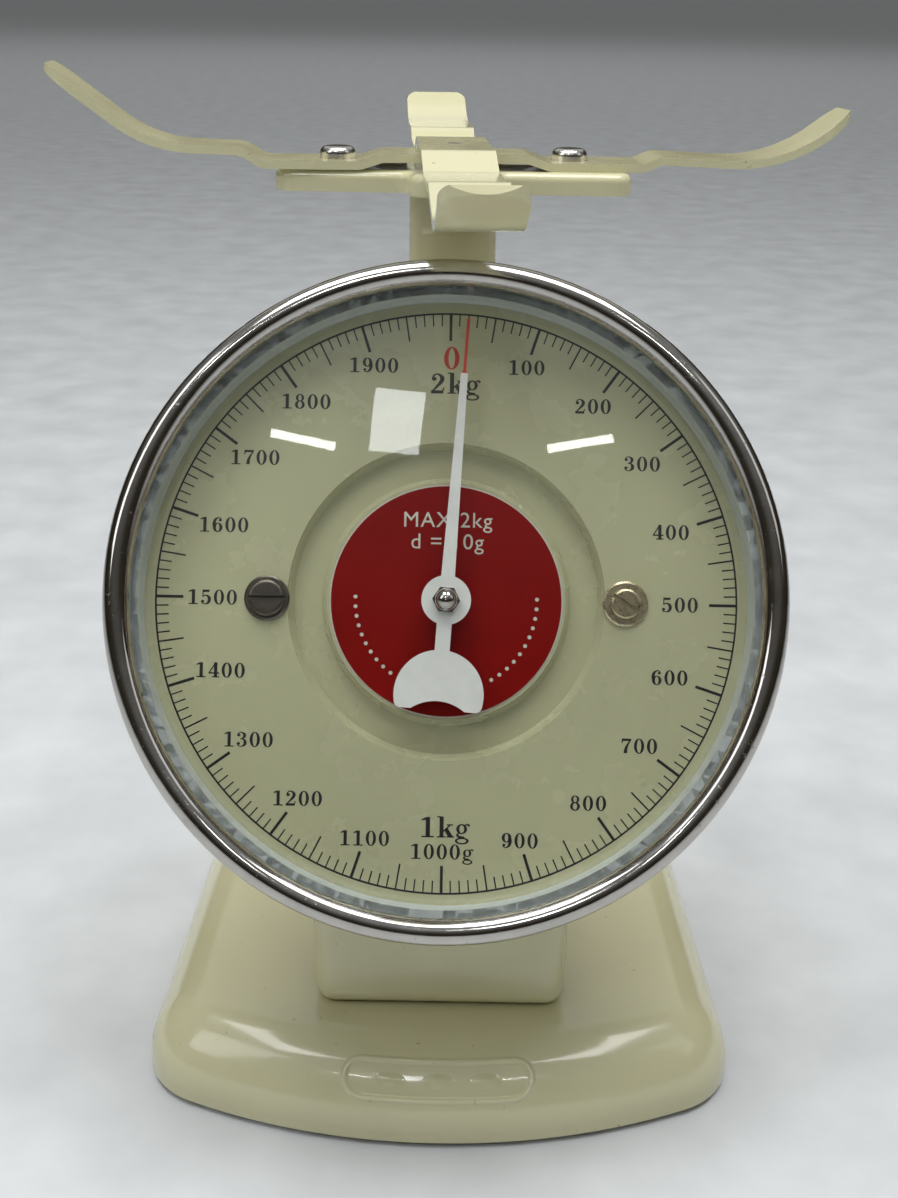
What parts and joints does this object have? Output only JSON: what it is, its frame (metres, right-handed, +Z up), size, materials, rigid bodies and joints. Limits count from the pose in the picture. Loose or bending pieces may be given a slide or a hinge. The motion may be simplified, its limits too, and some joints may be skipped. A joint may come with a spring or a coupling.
{
  "type": "dial spring scale",
  "caption": "Counter-top spring scale: rolled base, upright housing, tilted round dial under a domed lens, spring-borne stem and a cross of curled arms for a bowl.",
  "frame": {"origin": "on the counter under the feet, on the axis of the weighing stem", "axes": "+Z up along the stem, the dial faces -Y, +X to the right of someone reading it"},
  "size_m": [0.1778, 0.1837, 0.2293],
  "materials": {
    "enamel": "gloss cream stove enamel",
    "dial_enamel": "gloss cream enamel, printed dial",
    "red_print": "gloss red print",
    "chrome": "polished chrome plate, slightly pitted",
    "lens": "clear domed lens",
    "spacer": "satin pale grey",
    "pointer_white": "satin off-white, red tip",
    "brass": "turned brass",
    "bright_steel": "zinc-plated steel",
    "dark_steel": "blackened steel",
    "nickel": "nickel-plated screw heads, tarnished",
    "spring_steel": "drawn spring wire",
    "nylon": "natural nylon",
    "rubber": "matt black rubber"
  },
  "bodies": {
    "housing": {"base_cover": "enamel", "base_pillars": "bright_steel", "base_plate": "bright_steel", "bezel": "chrome", "body_nuts": "bright_steel", "body_screws": "bright_steel", "body_shell": "enamel", "bridge_pillars": "bright_steel", "bridge_screws": "bright_steel", "case_screws": "bright_steel", "centre_disc": "red_print", "dial_case": "enamel", "dial_pillars": "bright_steel", "dial_plate": "dial_enamel", "dial_screw_left": "dark_steel", "dial_screw_right": "brass", "foot_screws": "bright_steel", "glass_lens": "lens", "guide_bracket": "bright_steel", "hanger_rails": "bright_steel", "lower_bush": "brass", "movement_bridge": "bright_steel", "rear_cover": "enamel", "rear_cover_screws": "bright_steel", "roller_post": "bright_steel", "rubber_feet": "rubber", "spacer_ring": "spacer", "spindle_front_bush": "brass", "spindle_rear_bush": "brass", "spring_left": "spring_steel", "spring_right": "spring_steel", "stop_buffer": "rubber", "top_guide": "nylon"},
    "platform": {"stem_tube": "enamel", "stem_plugs": "bright_steel", "guide_rod": "bright_steel", "stop_pin": "bright_steel", "carriage_bar": "bright_steel", "carriage_pegs": "bright_steel", "rack_arm": "bright_steel", "stem_screws": "bright_steel", "rack": "bright_steel", "cross_plate": "enamel", "side_strap": "enamel", "fore_aft_strap": "enamel", "strap_rivet": "bright_steel", "strap_screws": "nickel", "strap_nuts": "bright_steel", "hub_screw": "nickel"},
    "pointer_shaft": {"pointer": "pointer_white", "pointer_collet": "brass", "acorn_nut": "chrome", "spindle": "bright_steel", "pinion": "brass"},
    "roller": {"rack_roller": "brass"},
    "hanger": {"spring_hanger": "bright_steel", "hanger_pegs": "bright_steel"},
    "zero_screw": {"zero_knob": "brass", "zero_stud": "bright_steel", "zero_clip": "bright_steel"}
  },
  "joints": [
    {"name": "platform_travel", "type": "slide", "parent": "housing", "child": "platform", "axis": [0, 0, -1], "range_m": [-0.00014, 0.01373], "stiffness_N_per_m": 1414.5, "springref_m": -0.00164, "deforming": ["spring_left", "spring_right"]},
    {"name": "pointer_turn", "type": "hinge", "parent": "housing", "child": "pointer_shaft", "pos_m": [0, -0.0492, 0.1225], "axis": [0, 0.9063, -0.4226], "range_deg": [-3.61, 356.41]},
    {"name": "roller_spin", "type": "hinge", "parent": "housing", "child": "roller", "pos_m": [0.00923, -0.0265, 0.112], "axis": [0, -1, 0], "range_deg": [-3, 263]},
    {"name": "hanger_shift", "type": "slide", "parent": "housing", "child": "hanger", "axis": [0, 0, 1], "range_m": [-0.001, 0.001]},
    {"name": "zero_turn", "type": "hinge", "parent": "housing", "child": "zero_screw", "pos_m": [0, 0.0165, 0.18], "axis": [0, 0, 1], "range_deg": [-515, 515]}
  ],
  "couplings": [
    {"joint": "pointer_turn", "follows": "platform_travel", "rad_per_m": 453.15},
    {"joint": "roller_spin", "follows": "platform_travel", "rad_per_m": 333.33},
    {"joint": "zero_turn", "follows": "hanger_shift", "rad_per_m": 8976}
  ]
}
